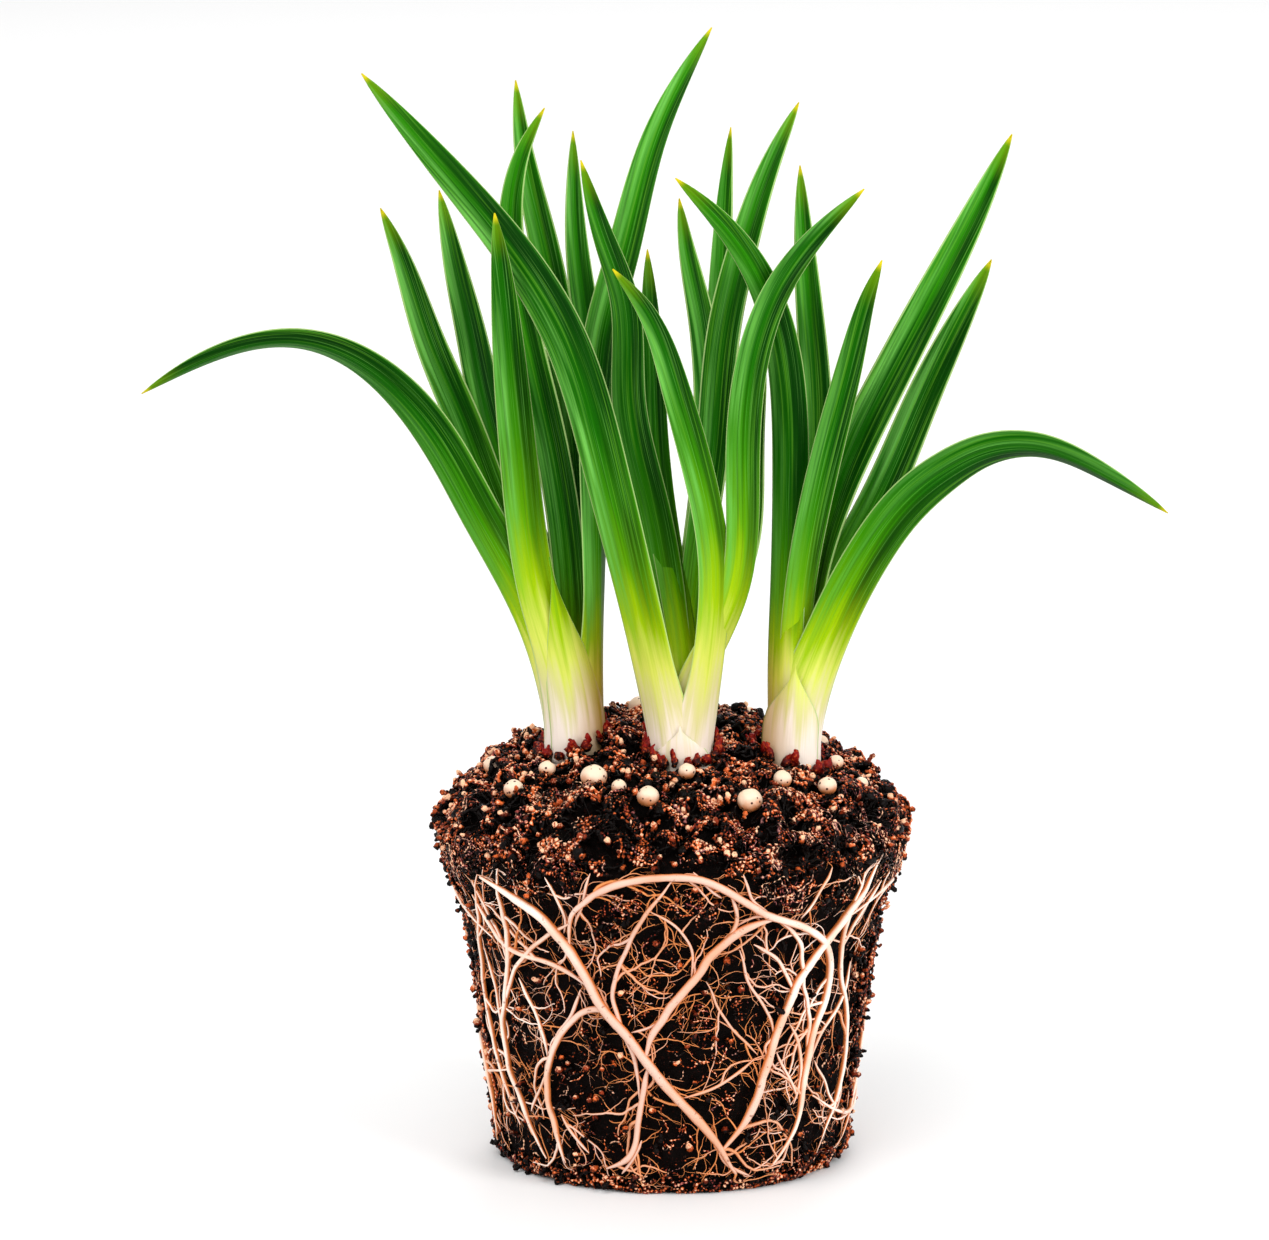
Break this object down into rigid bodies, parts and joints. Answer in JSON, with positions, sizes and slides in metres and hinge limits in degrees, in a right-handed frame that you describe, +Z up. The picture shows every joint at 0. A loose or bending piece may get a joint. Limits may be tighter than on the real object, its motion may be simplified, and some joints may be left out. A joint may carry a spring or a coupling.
{
  "type": "spring onion clump with soil ball",
  "caption": "White-stemmed spring onions with green strap leaves, growing from a pot-shaped ball of soil held by cream roots, with feed beads on top.",
  "frame": {"origin": "middle of the soil ball's flat foot, on the ground", "axes": "+Z up along the stems; -Y is the front, the side that the picture shows; +X is the viewer's right"},
  "size_m": [0.2248, 0.1058, 0.2512],
  "materials": {
    "leaf": "satin",
    "soil": "matte",
    "root": "matte",
    "feed_bead": "matte"
  },
  "bodies": {
    "root": {"soil": "soil", "root_net": "root", "shoot_left": "leaf", "shoot_centre": "leaf", "shoot_right": "leaf", "feed_bead_01": "feed_bead", "feed_bead_02": "feed_bead", "feed_bead_03": "feed_bead", "feed_bead_04": "feed_bead", "feed_bead_05": "feed_bead", "feed_bead_06": "feed_bead", "feed_bead_07": "feed_bead", "feed_bead_08": "feed_bead", "feed_bead_09": "feed_bead", "feed_bead_10": "feed_bead", "feed_bead_11": "feed_bead", "feed_bead_12": "feed_bead", "feed_bead_13": "feed_bead", "feed_bead_14": "feed_bead", "feed_bead_15": "feed_bead", "feed_bead_16": "feed_bead", "feed_bead_17": "feed_bead", "feed_bead_18": "feed_bead", "feed_bead_19": "feed_bead"}
  },
  "joints": []
}
